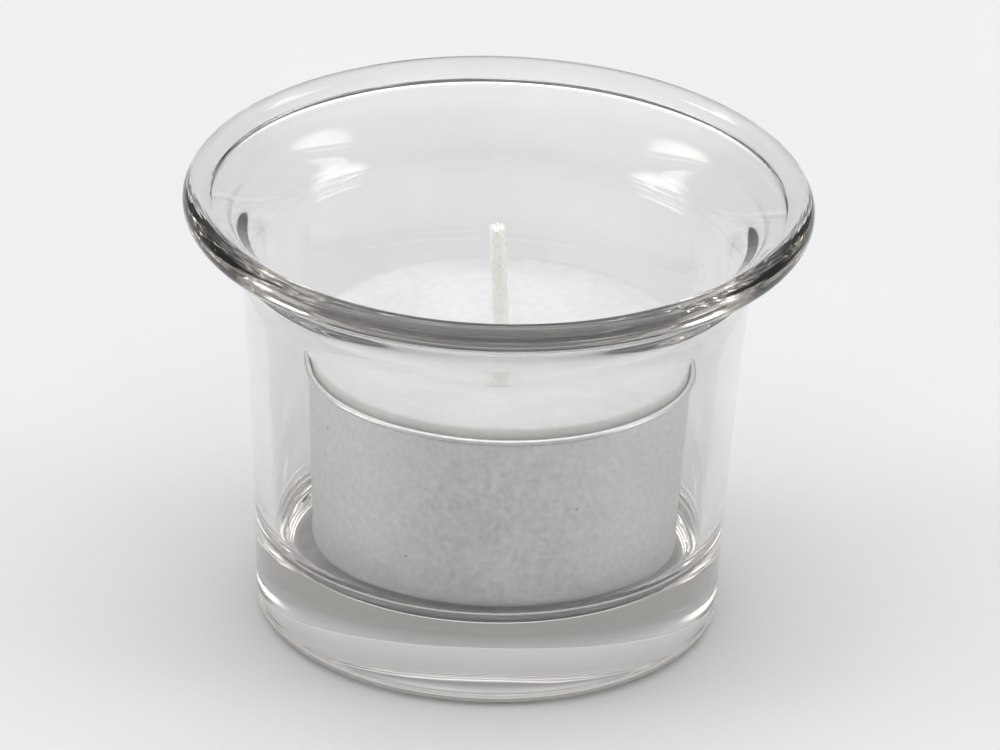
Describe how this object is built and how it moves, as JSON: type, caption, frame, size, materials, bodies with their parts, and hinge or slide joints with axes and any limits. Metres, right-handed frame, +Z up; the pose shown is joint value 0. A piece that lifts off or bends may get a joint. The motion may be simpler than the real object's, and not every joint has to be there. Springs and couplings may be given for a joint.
{
  "type": "tealight holder",
  "caption": "Clear glass tealight holder with a tapered body, thick base and flared round lip, holding a wax tealight in a thin aluminium cup.",
  "frame": {"origin": "centre of the ring that the glass stands on, in the plane of the table", "axes": "+Z up along the glass's axis, -Y towards the viewer, +X to the viewer's right"},
  "size_m": [0.062, 0.062, 0.0453],
  "materials": {
    "clear_glass": "fire-polished",
    "cup_aluminium": "satin",
    "white_wax": "pressed paraffin wax",
    "tinned_steel": "tin-plated",
    "cotton_wick": "waxed braided cotton"
  },
  "bodies": {
    "glass": {"glass_holder": "clear_glass"},
    "tealight": {"tealight_cup": "cup_aluminium"},
    "candle": {"wax_fill": "white_wax", "wick_sustainer": "tinned_steel", "wick": "cotton_wick"}
  },
  "joints": [
    {"name": "tealight_lift", "type": "slide", "parent": "glass", "child": "tealight", "axis": [0, 0, 1], "range_m": [0, 0.05]},
    {"name": "wax_lift", "type": "slide", "parent": "tealight", "child": "candle", "axis": [0, 0, 1], "range_m": [0, 0.025]}
  ]
}
